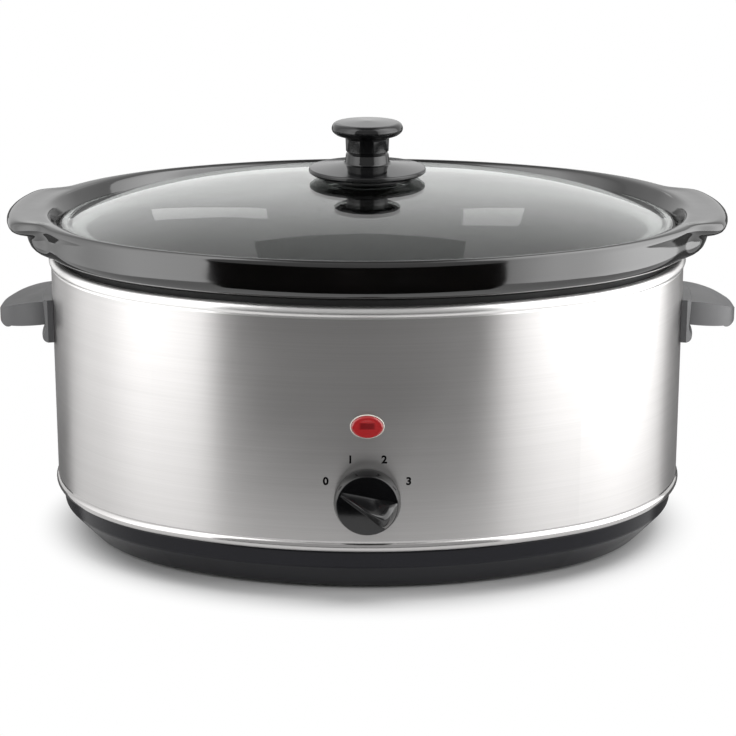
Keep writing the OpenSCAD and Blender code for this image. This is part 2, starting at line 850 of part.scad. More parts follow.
// Rubber bush of the cord inlet in the back wall
module cord_grommet() {
  color([0.12, 0.12, 0.12]) on_back(inlet_z) rotate_extrude() rounded([
    [inlet_r, -sheet - 2.4, 0.6],
    [inlet_lip_r, -sheet - 2.4, 0],
    [inlet_lip_r, -sheet - loose, 0],
    [inlet_neck_r, -sheet - loose, 0],
    [inlet_neck_r, loose, 0],
    [inlet_lip_r, loose, 0],
    [inlet_lip_r - 0.4, 2.8, 1],
    [inlet_r, 2.8, 0.6]
  ]);
}

// Section of a wing: a flat plate with a round edge whose middle lies at radius r
module wing_section(edge, r) {
  translate([0, -edge]) square([r, 2 * edge]);
  translate([r, 0]) circle(edge);
}

// Wing round the right end: an arc concentric with the rim, from lug_way to its mirror image
module wing_arc(edge, r) {
  intersection() {
    rotate(180) rotate_extrude() wing_section(edge, r);
    translate([0, 0, -2 * edge]) linear_extrude(4 * edge)
      polygon([[0, 0], [lug_way.x, -lug_way.y] * wing_far, lug_way * wing_far]);
  }
}

// Round corner at each end of the lug's arc, which turns from lug_way as far as root_way
module lug_corners() {
  at = lug_way * lug_step;
  for (side = [0, 1]) mirror([0, side, 0]) intersection() {
    translate(at) rotate_extrude() wing_section(lug_edge, lug_corner);
    translate([0, 0, -2 * lug_edge]) linear_extrude(4 * lug_edge)
      polygon([at, at + lug_way, at + lug_way + root_way * wing_far, at + root_way * wing_far]);
  }
}

// Fillet between a lug's corner and the rim's band, with the lug's round edge
module lug_root() {
  fillet = lug_way * lug_step + root_way * lug_stride;
  difference() {
    translate([0, 0, -lug_edge]) linear_extrude(2 * lug_edge) polygon([[0, 0], lug_way * lug_step, fillet]);
    translate(fillet) rotate_extrude() difference() {
      translate([0, -lug_edge - past]) square([lug_fillet_r, 2 * lug_edge + 2 * past]);
      translate([lug_fillet_r, 0]) circle(lug_edge);
    }
  }
}

// Lug on the right end, with the brace that carries it from below
module lug() {
  rim_clear = end_r + rim_proud - crest_width / 2;
  translate([end_x, 0, 0]) difference() {
    union() {
      translate([0, 0, lug_z]) {
        wing_arc(lug_edge, lug_arm + lug_corner);
        lug_corners();
        for (side = [0, 1]) mirror([0, side, 0]) lug_root();
      }
      translate([0, 0, brace_z]) wing_arc(brace_edge, brace_mid_r);
    }
    translate([0, 0, rim_z]) cylinder(r = rim_clear, h = rim_height);
  }
}

// Glazed stoneware pot: leaning wall, deep rim with a lid ledge, and two wing lugs
module crock() {
  color([0.03, 0.03, 0.035]) {
    oval_sweep() rounded([
      [core_d, crock_z, 0],
      [crock_d(crock_z), crock_z, well_corner - crock_gap],
      [crock_d(rim_z), rim_z, 2],
      [rim_proud, rim_z, 4],
      [rim_proud, crest_z, 2.2],
      [rim_proud - crest_width, crest_z, 3.2],
      [ledge_d, ledge_z, 1.6],
      [cavity_d(ledge_z), ledge_z, 3],
      [cavity_d(crock_floor_z), crock_floor_z, crock_corner],
      [core_d, crock_floor_z, 0]
    ]);
    oval_plate(core_d + 4, crock_z, crock_floor);
    both_ends() lug();
  }
}

// Clear lid: flat rim, domed shoulder and a flat top for the knob
module glass_lid() {
  color([0.8, 0.86, 0.86, 0.35]) difference() {
    union() {
      oval_sweep() {
        intersection() {
          translate([flat_d, dome_z - dome_r]) difference() {
            circle(dome_r);
            circle(dome_r - glass);
          }
          translate([flat_d, ledge_z]) square([dome_run, lid_rise + 2 * glass]);
        }
        translate([flat_d - 10, dome_z - glass]) square([10, glass]);
        rounded([
          [lid_d - lid_flange, ledge_z, 0],
          [lid_d, ledge_z, glass * 0.45],
          [lid_d, lid_edge_z, glass * 0.45],
          [lid_d - lid_flange, lid_edge_z, 0]
        ]);
      }
      oval_plate(flat_d - 6, dome_z - glass, glass);
    }
    translate([0, 0, dome_z - glass - past]) cylinder(r = lid_hole_r, h = glass + 2 * past);
  }
}

// Silicone washers above and below the glass
module lid_seals() {
  color([0.1, 0.1, 0.1]) {
    tube(collar_r - 1, lid_hole_r, dome_z, seal_t);
    tube(clamp_r - 2.4, lid_hole_r, dome_z - glass - seal_t, seal_t);
  }
}

// Foot disc of the lid's knob with the lower half of its stem
module knob_base() {
  color([0.05, 0.05, 0.055]) rotate_extrude() rounded([
    [knob_bore_r, collar_z, 0],
    [collar_r, collar_z, 0],
    [collar_r, disc_z, 0],
    [disc_r - 1.6, disc_z, 0],
    [disc_r, disc_z + disc_edge * 0.35, 0.6],
    [disc_r, disc_z + disc_edge, 0.9],
    [stem_r + 0.6, disc_z + disc_edge + disc_rise, 1.4],
    [stem_r, seam_z - 0.9, 0],
    [stem_r - 0.9, seam_z, 0],
    [knob_bore_r, seam_z, 0]
  ]);
}

// Mushroom cap of the lid's knob with the upper half of its stem and a blind screw hole
module knob_cap() {
  rim_r = 0.36 * cap_t;
  color([0.05, 0.05, 0.055]) rotate_extrude() rounded([
    [knob_bore_r, seam_z, 0],
    [stem_r - 0.9, seam_z, 0],
    [stem_r, seam_z + 0.9, 0],
    [stem_r + 0.3, neck_z, 1.6],
    [cap_r - 3, neck_z + 1.2, 3],
    [cap_r, neck_z + cap_t * 0.4, 3],
    [cap_r - 1.4, cap_z - 1, rim_r],
    [0, cap_z, 0],
    [0, screw_end_z + 0.6, 0],
    [knob_bore_r, screw_end_z + 0.6, 0]
  ]);
}

// Clamp disc under the glass, with a well for the screw's head
module knob_nut() {
  low = clamp_z - clamp_t;
  head_room = screw_head_t + screw_head_room;
  color([0.05, 0.05, 0.055]) rotate_extrude() rounded([
    [screw_head_r + 0.4, low, 0],
    [clamp_r - 5, low, 2],
    [clamp_r, clamp_z - 2.6, 1.4],
    [clamp_r - 0.6, clamp_z, 0],
    [knob_bore_r, clamp_z, 0],
    [knob_bore_r, low + head_room, 0],
    [screw_head_r + 0.4, low + head_room, 0]
  ]);
}

// Screw from below through clamp disc, glass and foot disc into the cap
module knob_screw() {
  seat = clamp_z - clamp_t + screw_head_t + screw_head_room;
  color([0.7, 0.7, 0.72]) rotate_extrude() rounded([
    [0, seat - screw_head_t, 0],
    [screw_head_r, seat - screw_head_t, 1.2],
    [screw_head_r, seat, 0],
    [knob_screw_r, seat, 0],
    [knob_screw_r, screw_end_z, 0],
    [0, screw_end_z, 0]
  ]);
}

base_pan();
feet();
tie_stud();
tie_nut();
heat_shield();
sleeve();
liner();
heater_band();
insulation();
rim_seat();
handle_left();
handle_right();
handle_screws();
switch_body();
switch_nut();
dial_shaft();
dial_knob();
lamp_lens();
lamp_holder();
thermal_fuse();
terminal_block();
wiring();
cord_grommet();
crock();
glass_lid();
lid_seals();
knob_base();
knob_cap();
knob_nut();
knob_screw();
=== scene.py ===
# %% [markdown]
# # An oval slow cooker, from bare solids to a studio portrait
#
# The cooker comes from CAD as named solids: a steel sleeve on a moulded base, a stoneware crock, a glass
# lid, a dial and the works inside. They are the fixed frame of this lesson and never move. What is added
# here is what CAD leaves plain: the finish of every surface, a pressed glass dome, a cast crock, a moulded
# dial, a lamp lens and a printed scale. A camera and a small studio then make the portrait.

# %% Load the frame
import math

import bmesh
import bpy
from mathutils import Matrix, Vector


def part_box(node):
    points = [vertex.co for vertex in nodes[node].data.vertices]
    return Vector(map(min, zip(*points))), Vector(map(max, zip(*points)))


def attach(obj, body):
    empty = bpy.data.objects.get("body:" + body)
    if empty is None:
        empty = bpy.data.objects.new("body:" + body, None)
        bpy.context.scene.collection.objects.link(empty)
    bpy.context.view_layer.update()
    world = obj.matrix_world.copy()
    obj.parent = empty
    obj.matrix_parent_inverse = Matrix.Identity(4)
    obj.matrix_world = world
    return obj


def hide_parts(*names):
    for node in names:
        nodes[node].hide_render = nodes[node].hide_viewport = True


MM = 0.001
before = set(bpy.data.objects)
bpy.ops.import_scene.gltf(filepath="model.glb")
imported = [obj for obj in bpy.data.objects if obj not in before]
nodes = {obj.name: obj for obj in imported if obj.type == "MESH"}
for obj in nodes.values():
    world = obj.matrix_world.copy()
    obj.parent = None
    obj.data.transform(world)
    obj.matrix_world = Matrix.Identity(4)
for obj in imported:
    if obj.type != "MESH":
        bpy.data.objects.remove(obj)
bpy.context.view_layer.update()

# %% [markdown]
# ## Camera
# A product portrait like this is taken with a long lens from a little above the lid, so that the oval of
# the rim shows without much perspective. The lens, the place and the pitch below were worked out from the
# sizes of the rim and the dial. There is no depth of field, because the views from other sides keep this
# camera.

# %% Camera
camera_lens_mm = 114.14
camera_place = Vector((0.0004, -1.29464, 0.45943))
camera_pitch = math.radians(74.08)
cooker_middle = Vector((0, 0, 0.1))
camera = bpy.data.objects.new("camera", bpy.data.cameras.new("camera"))
camera.data.lens = camera_lens_mm
camera.location = camera_place
camera.rotation_euler = (camera_pitch, 0, 0)
bpy.context.scene.collection.objects.link(camera)
bpy.context.scene.camera = camera
bpy.context.scene.view_settings.view_transform = "Standard"
print("camera", round((camera_place - cooker_middle).length, 3), "m from the cooker")

# %% [markdown]
# ## Two helpers for node trees
# A material is a small graph. Writing each node and each link by hand is long, so `add` makes one node,
# sets its options and fills its sockets: a number is typed into the socket, and another node's output is
# linked to it. `finish` starts a material and types the constants straight into its shader.

# %% Node helpers
def add(tree, kind, inputs=None, **options):
    node = tree.nodes.new("ShaderNode" + kind)
    for option, value in options.items():
        setattr(node, option, value)
    for socket, value in (inputs or {}).items():
        if isinstance(value, bpy.types.NodeSocket):
            tree.links.new(value, node.inputs[socket])
        else:
            node.inputs[socket].default_value = value
    return node


def finish(name, constants):
    material = bpy.data.materials.new(name)
    material.use_nodes = True
    shader = material.node_tree.nodes["Principled BSDF"]
    for socket, value in constants.items():
        shader.inputs[socket].default_value = value
    return material, material.node_tree, shader


print("helpers ready")

# %% [markdown]
# ## White studio: floor and sky
# The cooker stands on a white sweep that fades into a white background. A floor lit by lamps alone never
# comes out evenly white, so the floor mixes a plain pale surface, which keeps the shadow, with a white
# glow. The glow shows only to rays from the camera, from gloss and through glass. Close to the cooker there
# is no glow and the shadow shows; further out the glow takes over.

# %% Floor and sky
floor_half = 8.0
floor_white = (0.68, 0.68, 0.68, 1)
base_half = (0.160, 0.137)
shadow_start, shadow_end = 0.97, 1.22
glow_near = 0.0
sky_fill = 0.45


def seen_or_mirrored(tree):
    path = add(tree, "LightPath").outputs
    seen = {0: path["Is Camera Ray"], 1: path["Is Glossy Ray"]}
    mirrored = add(tree, "Math", seen, operation="MAXIMUM").outputs[0]
    through = {0: mirrored, 1: path["Is Transmission Ray"]}
    return add(tree, "Math", through, operation="MAXIMUM").outputs[0]


def studio_floor():
    material = bpy.data.materials.new("studio floor")
    material.use_nodes = True
    tree = material.node_tree
    tree.nodes.clear()
    place = add(tree, "TexCoord").outputs["Object"]
    per_half = (1 / base_half[0], 1 / base_half[1], 0)
    oval = add(tree, "VectorMath", {0: place, 1: per_half}, operation="MULTIPLY")
    distance = add(tree, "VectorMath", {0: oval.outputs[0]}, operation="LENGTH").outputs["Value"]
    glow = add(tree, "MapRange", {"Value": distance, "From Min": shadow_start, "From Max": shadow_end,
                                  "To Min": glow_near, "To Max": 1.0}, interpolation_type="SMOOTHSTEP")
    share = add(tree, "Math", {0: glow.outputs[0], 1: seen_or_mirrored(tree)}, operation="MULTIPLY")
    lit = add(tree, "BsdfDiffuse", {"Color": floor_white})
    white = add(tree, "Emission", {"Strength": 1.0})
    mix = add(tree, "MixShader", {0: share.outputs[0], 1: lit.outputs[0], 2: white.outputs[0]})
    tree.links.new(mix.outputs[0], add(tree, "OutputMaterial").inputs["Surface"])
    return material


def stage_card(name, corners, material):
    mesh = bpy.data.meshes.new(name)
    shape = bmesh.new()
    bmesh.ops.contextual_create(shape, geom=[shape.verts.new(corner) for corner in corners])
    shape.to_mesh(mesh)
    shape.free()
    mesh.materials.append(material)
    card = bpy.data.objects.new(name, mesh)
    bpy.context.scene.collection.objects.link(card)
    return card


def studio_sky():
    world = bpy.data.worlds.new("studio sky")
    bpy.context.scene.world = world
    world.use_nodes = True
    tree = world.node_tree
    strength = add(tree, "MapRange", {"Value": seen_or_mirrored(tree), "To Min": sky_fill, "To Max": 1.0})
    sky = tree.nodes["Background"]
    sky.inputs["Color"].default_value = (1, 1, 1, 1)
    tree.links.new(strength.outputs[0], sky.inputs["Strength"])


floor_corners = [(x * floor_half, y * floor_half, 0) for x, y in ((-1, -1), (1, -1), (1, 1), (-1, 1))]
stage_card("floor", floor_corners, studio_floor())
studio_sky()
print("floor", 2 * floor_half, "m wide, glow", glow_near, "near the cooker")

# %% [markdown]
# ## Lamps and cards
# Black gloss and steel show the studio more than they show light, so the studio has two kinds of light.
# Lamps that gloss can't see set the plain level at which colours come out as written. Cards that only
# gloss sees draw the reflections, as softboxes and black flags do in a real studio.

# %% Lamps
def lamp(name, place, aim, size, watts):
    light = bpy.data.lights.new(name, "AREA")
    light.shape = "DISK"
    light.size = size
    light.energy = watts
    holder = bpy.data.objects.new(name, light)
    holder.location = place
    holder.rotation_euler = (aim - Vector(place)).to_track_quat("-Z", "Y").to_euler()
    holder.visible_glossy = False
    holder.visible_camera = False
    holder.visible_transmission = False
    bpy.context.scene.collection.objects.link(holder)


lamp("top lamp", (0.3, -0.1, 1.6), cooker_middle, 1.3, 19)
lamp("left lamp", (-1.3, -1.0, 0.9), cooker_middle, 0.9, 9)
lamp("right lamp", (1.3, -1.0, 0.9), cooker_middle, 0.9, 13)

# %% [markdown]
# ## Reflection cards
# A tall white card stands on each side. Its brightness changes along Y, because no softbox is evenly bright.
# Dark flags stand in front and behind, hang overhead and lie on the floor: the upright wall mirrors the
# floor, so the black between the two bright panels of the steel is a flag that lies there. Two small cards
# high at the back put the window shapes on the glass.

# %% Reflection cards
def glow_card(name, strength, corners, *tones):
    """A card that only gloss sees. Each tone is a share of the strength at a place along Y."""
    material = bpy.data.materials.new(name)
    material.use_nodes = True
    tree = material.node_tree
    tree.nodes.clear()
    glow = add(tree, "Emission", {"Strength": strength})
    if tones:
        y = add(tree, "SeparateXYZ", {0: add(tree, "TexCoord").outputs["Object"]}).outputs["Y"]
        first, last = tones[0][0], tones[-1][0]
        share = add(tree, "MapRange", {"Value": y, "From Min": first, "From Max": last})
        ramp = add(tree, "ValToRGB", {"Fac": share.outputs[0]})
        ramp.color_ramp.interpolation = "EASE"
        for place, tone in tones[1:-1]:
            ramp.color_ramp.elements.new((place - first) / (last - first)).color = (tone, tone, tone, 1)
        for stop in (0, -1):
            tone = tones[stop][1]
            ramp.color_ramp.elements[stop].color = (tone, tone, tone, 1)
        tree.links.new(ramp.outputs["Color"], glow.inputs["Color"])
    tree.links.new(glow.outputs[0], add(tree, "OutputMaterial").inputs["Surface"])
    card = stage_card(name, corners, material)
    for ray in ("camera", "diffuse", "transmission", "shadow", "volume_scatter"):
        setattr(card, "visible_" + ray, False)


def upright(start, end, height):
    return [(*start, 0), (*end, 0), (*end, height), (*start, height)]


def level(height, *corners):
    return [(*corner, height) for corner in corners]


side_height, ceiling_height = 1.2, 1.7
just_over_floor = 0.001
left_front, left_back = (-0.385, -0.455), (-0.50, 0.242)
right_front, right_back = (0.34, -0.49), (0.58, 0.244)
left_tones = [(-0.44, 0.95), (-0.26, 1.0), (-0.03, 0.6), (0.24, 0.3)]
right_tones = [(-0.49, 0.45), (-0.33, 0.75), (-0.12, 1.0), (0.24, 0.6)]
front_floor = [(-0.21, -0.265), (0.17, -0.265), right_front, (0.8, -1.1), (-1.1, -1.1), left_front]
back_floor = [(-0.19, -0.035), (0.19, -0.035), right_back, (0.75, 0.95), (-0.62, 0.95), left_back]
left_softbox = [(-0.180, 1.2, 0.846), (-0.214, 1.2, 1.073), (-0.454, 1.2, 0.862), (-0.391, 1.2, 0.647)]
right_softbox = [(0.173, 1.2, 0.853), (0.281, 1.2, 0.761), (0.367, 1.2, 1.223), (0.234, 1.2, 1.261)]
ceiling = [(-0.38, -0.8), (0.34, -0.8), (0.33, 1.09), (0.20, 1.21), (-0.01, 1.3), (-0.21, 1.24), (-0.38, 1.1)]
glow_card("left card", 2.9, upright(left_front, left_back, side_height), *left_tones)
glow_card("right card", 4.2, upright(right_front, right_back, side_height), *right_tones)
glow_card("front flag", 0.5, upright((-1.2, -1.1), (1.2, -1.1), 1.6))
glow_card("front floor flag", 0.01, level(just_over_floor, *front_floor))
glow_card("back floor flag", 0.15, level(just_over_floor, *back_floor))
glow_card("back flag", 0.15, upright((0.75, 0.95), (-0.62, 0.95), 0.25))
glow_card("left softbox card", 1.8, left_softbox)
glow_card("right softbox card", 1.8, right_softbox)
glow_card("ceiling flag", 0.3, level(ceiling_height, *ceiling))

# %% [markdown]
# ## Effects that several finishes share
# Brushing, moulding grain, handling marks and ripples turn up on more than one material, so each is a node
# group with named inputs. A group only puts out numbers that change over the surface. All of them read
# Object coordinates, which are metres here, so a size given to a group is a real size.

# %% Node groups
def start_group(name, inputs, outputs):
    tree = bpy.data.node_groups.new(name, "ShaderNodeTree")
    for socket, default in inputs.items():
        made = tree.interface.new_socket(socket, in_out="INPUT", socket_type="NodeSocketFloat")
        made.default_value = default
    for socket in outputs:
        tree.interface.new_socket(socket, in_out="OUTPUT", socket_type="NodeSocketFloat")
    return tree, tree.nodes.new("NodeGroupInput").outputs, tree.nodes.new("NodeGroupOutput").inputs


def per_metre(tree, size):
    return add(tree, "Math", {0: 1.0, 1: size}, operation="DIVIDE").outputs[0]


def brushed_lines():
    """Long level streaks: Tone varies from 0 to 1, Height is the same streaks for a Bump node."""
    defaults = {"Streak": 0.15, "Pitch": 0.0004}
    tree, given, result = start_group("Brushed lines", defaults, ["Tone", "Height"])
    place = add(tree, "TexCoord").outputs["Object"]
    along = per_metre(tree, given["Streak"])
    scale = add(tree, "CombineXYZ", {"X": along, "Y": along, "Z": per_metre(tree, given["Pitch"])})
    stretched = add(tree, "VectorMath", {0: place, 1: scale.outputs[0]}, operation="MULTIPLY").outputs[0]
    fine = add(tree, "TexNoise", {"Vector": stretched, "Scale": 1.0, "Detail": 3.0, "Roughness": 0.65})
    broad = add(tree, "TexNoise", {"Vector": stretched, "Scale": 0.11, "Detail": 2.0})
    both = {0: broad.outputs["Fac"], 1: 0.5, 2: fine.outputs["Fac"]}
    tone = add(tree, "Math", both, operation="MULTIPLY_ADD")
    even = add(tree, "MapRange", {"Value": tone.outputs[0], "From Min": 0.45, "From Max": 1.05})
    tree.links.new(even.outputs[0], result["Tone"])
    tree.links.new(fine.outputs["Fac"], result["Height"])
    return tree


def moulded_grain():
    """Fine etched grain of a mould: Height for a Bump node, and Tone for a faint change of shade."""
    tree, given, result = start_group("Moulded grain", {"Grain": 0.0005}, ["Height", "Tone"])
    place = add(tree, "TexCoord").outputs["Object"]
    per_grain = per_metre(tree, given["Grain"])
    cells = add(tree, "TexVoronoi", {"Vector": place, "Scale": per_grain}, feature="SMOOTH_F1")
    clouds = add(tree, "TexNoise", {"Vector": place, "Scale": 45.0, "Detail": 4.0})
    tree.links.new(cells.outputs["Distance"], result["Height"])
    tree.links.new(clouds.outputs["Fac"], result["Tone"])
    return tree


def handling_marks():
    """Wiped and touched patches, of a given Size: Roughness runs from Low to High."""
    defaults = {"Size": 0.06, "Low": 0.1, "High": 0.2}
    tree, given, result = start_group("Handling marks", defaults, ["Roughness"])
    place = add(tree, "TexCoord").outputs["Object"]
    wipes = add(tree, "TexNoise", {"Vector": place, "Scale": per_metre(tree, given["Size"]), "Detail": 5.0,
                                   "Roughness": 0.55, "Distortion": 0.6})
    mask = add(tree, "MapRange", {"Value": wipes.outputs["Fac"], "From Min": 0.35, "From Max": 0.7})
    rough = add(tree, "MapRange", {
        "Value": mask.outputs[0], "To Min": given["Low"], "To Max": given["High"]})
    tree.links.new(rough.outputs[0], result["Roughness"])
    return tree


def glaze_ripple():
    """The slow waves that a fired glaze or a pressed glass keeps: Height for a Bump node."""
    tree, given, result = start_group("Glaze ripple", {"Wave": 0.02}, ["Height"])
    place = add(tree, "TexCoord").outputs["Object"]
    waves = add(tree, "TexNoise", {"Vector": place, "Scale": per_metre(tree, given["Wave"]), "Detail": 1.0})
    tree.links.new(waves.outputs["Fac"], result["Height"])
    return tree


groups = {tree.name: tree for tree in (brushed_lines(), moulded_grain(), handling_marks(), glaze_ripple())}


def use(tree, name, **inputs):
    node = add(tree, "Group", node_tree=groups[name])
    for socket, value in inputs.items():
        node.inputs[socket].default_value = value
    return node.outputs


print("node groups:", sorted(groups))

# %% [markdown]
# ## Putting grain, marks and shade into a shader
# Most finishes need the same three links: a height that tilts the normal, a roughness that varies, and a
# shade that drifts between two colours. Each has a helper, so that a material below reads as a short recipe.

# %% Shader links
def bump(tree, shader, height, depth, strength=1.0):
    tilt = add(tree, "Bump", {"Height": height, "Distance": depth, "Strength": strength})
    tree.links.new(tilt.outputs["Normal"], shader.inputs["Normal"])


def mix_colour(tree, share, first, second):
    """The Mix node takes colours at its sockets 6 and 7 and puts the colour out at 2."""
    return add(tree, "Mix", {0: share, 6: first, 7: second}, data_type="RGBA").outputs[2]


def mix_number(tree, share, first, second):
    """The Mix node takes numbers at its sockets 2 and 3 and puts the number out at 0."""
    return add(tree, "Mix", {0: share, 2: first, 3: second}, data_type="FLOAT").outputs[0]


def shade(tree, shader, tone, dark, light):
    tree.links.new(mix_colour(tree, tone, (*dark, 1), (*light, 1)), shader.inputs["Base Color"])


def gloss(tree, shader, size, low, high):
    marks = use(tree, "Handling marks", Size=size, Low=low, High=high)
    tree.links.new(marks["Roughness"], shader.inputs["Roughness"])


finishes = {}


def keep(slot, material):
    finishes[slot] = material
    print("finish for", slot, "has", len(material.node_tree.nodes), "nodes")


print("finishes so far:", len(finishes))

# %% [markdown]
# ## Brushed steel
# The wall is stainless sheet, brushed along its length, so its scratches run level round the oval. Level
# scratches smear a reflection up and down and leave its upright edges crisp. Anisotropy gives that smear:
# the tangent runs round the axis and is turned a quarter, so the rough direction stands upright. The rolled
# beads differ from the sheet, picked out by height: the upper one's pale colour is a painted highlight, the
# lower one is smooth.

# %% Brushed steel
top_bead, low_bead = 0.1584, 0.0306
bead_half = 0.0034
sheet_dark, sheet_light = (0.46, 0.45, 0.445, 1), (0.52, 0.51, 0.505, 1)
# The upper bead's pale colour is a painted highlight, not a paler steel.
top_bead_painted_highlight = (0.86, 0.85, 0.84, 1)
top_bead_rough, low_bead_rough = 0.32, 0.15


def brushed_steel():
    material, tree, shader = finish("brushed steel", {
        "Metallic": 1.0, "Anisotropic": 0.82, "Anisotropic Rotation": 0.25})
    lines = use(tree, "Brushed lines", Streak=0.09, Pitch=0.00035)
    z = add(tree, "SeparateXYZ", {0: add(tree, "TexCoord").outputs["Object"]}).outputs["Z"]
    top, low = [add(tree, "Math", {0: z, 1: height, 2: bead_half}, operation="COMPARE").outputs[0]
                for height in (top_bead, low_bead)]
    sheet = mix_colour(tree, lines["Tone"], sheet_dark, sheet_light)
    # Painted highlight: the upper bead takes a pale colour in place of the light its rounded top catches.
    colour = mix_colour(tree, top, sheet, top_bead_painted_highlight)
    tree.links.new(colour, shader.inputs["Base Color"])
    marks = use(tree, "Handling marks", Size=0.09, Low=0.33, High=0.39)
    upper = mix_number(tree, top, marks["Roughness"], top_bead_rough)
    rough = mix_number(tree, low, upper, low_bead_rough)
    tree.links.new(rough, shader.inputs["Roughness"])
    bump(tree, shader, lines["Height"], 0.00002, 0.5)
    tangent = add(tree, "Tangent", direction_type="RADIAL", axis="Z")
    tree.links.new(tangent.outputs[0], shader.inputs["Tangent"])
    return material


keep("steel_brushed", brushed_steel())

# %% [markdown]
# ## Black glaze
# The crock is stoneware under a black glaze. A glaze is a glass, so it is a dark body under a clear, sharp
# surface. What tells it from plastic is the slow ripple of the fired surface, which bends the edges of the
# reflections, and a faint brown drift in the black.

# %% Black glaze
def black_glaze():
    material, tree, shader = finish("black glaze", {"IOR": 1.8})
    clouds = use(tree, "Moulded grain", Grain=0.004)
    shade(tree, shader, clouds["Tone"], (0.0010, 0.0010, 0.0010), (0.0030, 0.0024, 0.0022))
    gloss(tree, shader, 0.05, 0.05, 0.12)
    bump(tree, shader, use(tree, "Glaze ripple", Wave=0.022)["Height"], 0.0004, 0.35)
    return material


keep("stoneware_black", black_glaze())

# %% [markdown]
# ## Lid glass
# The lid is pressed tempered glass. It is a solid with two faces, so a transmitting shader with glass's own
# index bends light as the real lid does. A trace of green in the body shows at the thick rim.

# %% Lid glass
def lid_glass():
    material, tree, shader = finish("lid glass", {
        "Base Color": (0.95, 0.98, 0.96, 1), "IOR": 1.5, "Transmission Weight": 1.0})
    gloss(tree, shader, 0.08, 0.0, 0.035)
    bump(tree, shader, use(tree, "Glaze ripple", Wave=0.05)["Height"], 0.0004, 0.15)
    return material


keep("glass_clear", lid_glass())

# %% [markdown]
# ## Plastics
# Three grades of moulded plastic show. The dial and the lid's knob are polished, the handles are satin, and
# the base is satin with a touch of blue. They differ in shade, in gloss and in the grain of their moulds.

# %% Plastics
def plastic(name, dark, light, low, high, grain, depth, shine=0.5):
    material, tree, shader = finish(name, {"IOR": 1.52, "Specular IOR Level": shine})
    mould = use(tree, "Moulded grain", Grain=grain)
    shade(tree, shader, mould["Tone"], dark, light)
    gloss(tree, shader, 0.03, low, high)
    bump(tree, shader, mould["Height"], depth, 0.6)
    return material


keep("plastic_gloss_black", plastic(
    "polished black plastic", (0.0020, 0.0020, 0.0023), (0.0040, 0.0040, 0.0045),
    low=0.08, high=0.16, grain=0.0008, depth=0.000006))
keep("plastic_black", plastic(
    "satin black plastic", (0.055, 0.055, 0.057), (0.070, 0.070, 0.073),
    low=0.34, high=0.44, grain=0.0005, depth=0.00003))
keep("plastic_charcoal", plastic(
    "charcoal plastic", (0.0030, 0.0030, 0.0055), (0.0055, 0.0055, 0.0090),
    low=0.20, high=0.28, grain=0.0006, depth=0.00002, shine=0.22))
keep("plastic_inner", plastic(
    "switch plastic", (0.02, 0.02, 0.021), (0.035, 0.035, 0.036),
    low=0.45, high=0.6, grain=0.0006, depth=0.00003))
keep("plastic_pale", plastic(
    "pale plastic", (0.62, 0.60, 0.53), (0.72, 0.70, 0.64),
    low=0.4, high=0.55, grain=0.0006, depth=0.00003))
keep("rubber_black", plastic(
    "black rubber", (0.014, 0.014, 0.014), (0.026, 0.026, 0.026),
    low=0.6, high=0.75, grain=0.0007, depth=0.00006))
keep("lead_sheath", plastic(
    "lead sheath", (0.45, 0.05, 0.04), (0.55, 0.07, 0.05),
    low=0.35, high=0.5, grain=0.0006, depth=0.00002))

# %% [markdown]
# ## Lamp red
# The lens is dyed plastic over a small neon lamp. Its body is red under a clear coat, and it is darker in a
# small rectangle where the unlit neon stands behind it. The rectangle is a distance measured separately
# along X and Z, of which the larger counts.

# %% Lamp red and lamp glass
neon_place = (0, -0.138, 0.0984)
neon_half_width, neon_half_height = 0.0042, 0.0018


def lens_red():
    material, tree, shader = finish("lens red", {
        "IOR": 1.49, "Coat Weight": 0.6, "Coat Roughness": 0.05})
    clouds = use(tree, "Moulded grain", Grain=0.0012)
    place = add(tree, "TexCoord").outputs["Object"]
    per_half = (1 / neon_half_width, 0, 1 / neon_half_height)
    from_neon = add(tree, "VectorMath", {0: place, 1: neon_place}, operation="SUBTRACT").outputs[0]
    scaled = add(tree, "VectorMath", {0: from_neon, 1: per_half}, operation="MULTIPLY").outputs[0]
    sides = add(tree, "VectorMath", {0: scaled}, operation="ABSOLUTE").outputs[0]
    split = add(tree, "SeparateXYZ", {0: sides}).outputs
    far = add(tree, "Math", {0: split["X"], 1: split["Z"]}, operation="MAXIMUM").outputs[0]
    bright = add(tree, "MapRange", {
        "Value": far, "From Min": 0.75, "From Max": 1.1, "To Min": 0.0, "To Max": 0.8}).outputs[0]
    clouded = {0: clouds["Tone"], 1: 0.25, 2: bright}
    tone = add(tree, "Math", clouded, operation="MULTIPLY_ADD").outputs[0]
    shade(tree, shader, tone, (0.13, 0.006, 0.008), (0.34, 0.016, 0.018))
    gloss(tree, shader, 0.01, 0.12, 0.22)
    bump(tree, shader, clouds["Height"], 0.00004, 0.4)
    return material


def lamp_glass():
    material, tree, shader = finish("lamp glass", {"IOR": 1.5, "Transmission Weight": 0.6})
    clouds = use(tree, "Moulded grain", Grain=0.001)
    shade(tree, shader, clouds["Tone"], (0.85, 0.45, 0.30), (0.95, 0.62, 0.45))
    gloss(tree, shader, 0.01, 0.05, 0.15)
    return material


keep("lens_red", lens_red())
keep("lamp_glass", lamp_glass())

# %% [markdown]
# ## Metals and wrap inside
# Under the shell are plated sheet and fasteners, a foil shield, the heater band and its fibre wrap. Nobody
# sees them unless the crock is lifted out, but the well is bright plated steel with the soft patches of its
# rolling, and the wrap is a mat of pale fibres.

# %% Inner finishes
def sheet_metal(name, dark, light, low, high, pitch):
    material, tree, shader = finish(name, {"Metallic": 1.0})
    lines = use(tree, "Brushed lines", Streak=0.05, Pitch=pitch)
    shade(tree, shader, lines["Tone"], dark, light)
    gloss(tree, shader, 0.04, low, high)
    bump(tree, shader, lines["Height"], 0.00002, 0.4)
    return material


